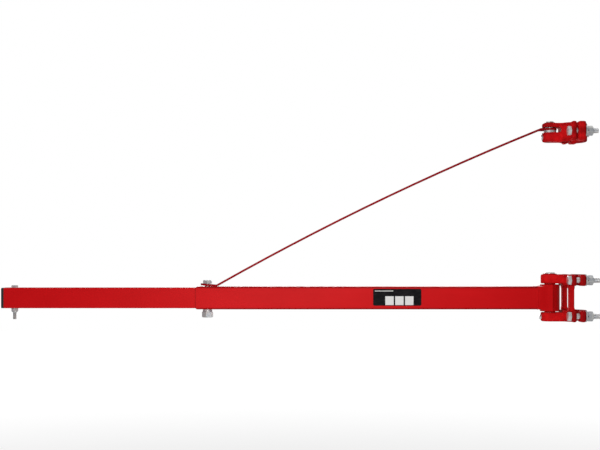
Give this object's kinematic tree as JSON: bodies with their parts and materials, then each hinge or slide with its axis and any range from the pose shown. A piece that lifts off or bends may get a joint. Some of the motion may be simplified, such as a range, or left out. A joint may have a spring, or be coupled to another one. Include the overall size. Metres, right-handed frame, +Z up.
{
  "type": "hoist swing arm",
  "caption": "Telescopic square-tube swing arm for a small hoist, hung from a scaffold pole by a hinged lower bracket and a bowed tie strap to an upper clamp.",
  "frame": {"origin": "on the pole axis at the height of the arm's centreline, midway between the two saddles of the lower bracket", "axes": "+Z up along the pole, +X out along the arm, +Y to the side that carries the label plate"},
  "size_m": [1.315, 0.104, 0.4431],
  "materials": {
    "arm_paint": "glossy red powder coat",
    "clamp_paint": "red paint on casting",
    "strap_paint": "red powder coat",
    "zinc_plate": "bright zinc plate",
    "pin_steel": "turned, zinc plated",
    "cap_plastic": "moulded black",
    "label_film": "blank printed film"
  },
  "bodies": {
    "pole_clamps": {"lower_bracket": "clamp_paint", "lower_clamp_bolts": "zinc_plate", "pivot_pin": "pin_steel", "pivot_pin_screw": "zinc_plate", "upper_clamp": "clamp_paint", "upper_clamp_bolts": "zinc_plate", "strap_pin": "pin_steel", "strap_pin_screw": "zinc_plate", "eye_spacer": "zinc_plate"},
    "arm": {"pivot_sleeve": "arm_paint", "arm_knuckle": "arm_paint", "outer_tube": "arm_paint", "label_plate": "label_film", "tie_strap": "strap_paint", "lock_bolt": "zinc_plate", "lock_washer": "zinc_plate", "lock_spring_washer": "zinc_plate", "lock_nut": "zinc_plate"},
    "extension": {"extension_tube": "arm_paint", "end_cap": "cap_plastic", "stop_bolt": "zinc_plate", "stop_washer": "zinc_plate", "stop_nut": "zinc_plate"},
    "upper_jaw": {"upper_back_jaw": "clamp_paint", "upper_jaw_washers": "zinc_plate", "upper_jaw_spring_washers": "zinc_plate", "upper_jaw_nuts": "zinc_plate"},
    "lower_top_jaw": {"lower_top_back_jaw": "clamp_paint", "lower_top_jaw_washers": "zinc_plate", "lower_top_jaw_spring_washers": "zinc_plate", "lower_top_jaw_nuts": "zinc_plate"},
    "lower_bottom_jaw": {"lower_bottom_back_jaw": "clamp_paint", "lower_bottom_jaw_washers": "zinc_plate", "lower_bottom_jaw_spring_washers": "zinc_plate", "lower_bottom_jaw_nuts": "zinc_plate"}
  },
  "joints": [
    {"name": "arm_swing", "type": "hinge", "parent": "pole_clamps", "child": "arm", "pos_m": [0.05006, 0, 0], "axis": [0, 0, 1], "range_deg": [-90, 90]},
    {"name": "telescope", "type": "slide", "parent": "arm", "child": "extension", "axis": [-1, 0, 0], "range_m": [0, 0.35]},
    {"name": "upper_jaw_open", "type": "slide", "parent": "pole_clamps", "child": "upper_jaw", "axis": [-1, 0, 0], "range_m": [0, 0.01]},
    {"name": "lower_top_jaw_open", "type": "slide", "parent": "pole_clamps", "child": "lower_top_jaw", "axis": [-1, 0, 0], "range_m": [0, 0.01]},
    {"name": "lower_bottom_jaw_open", "type": "slide", "parent": "pole_clamps", "child": "lower_bottom_jaw", "axis": [-1, 0, 0], "range_m": [0, 0.01]}
  ]
}
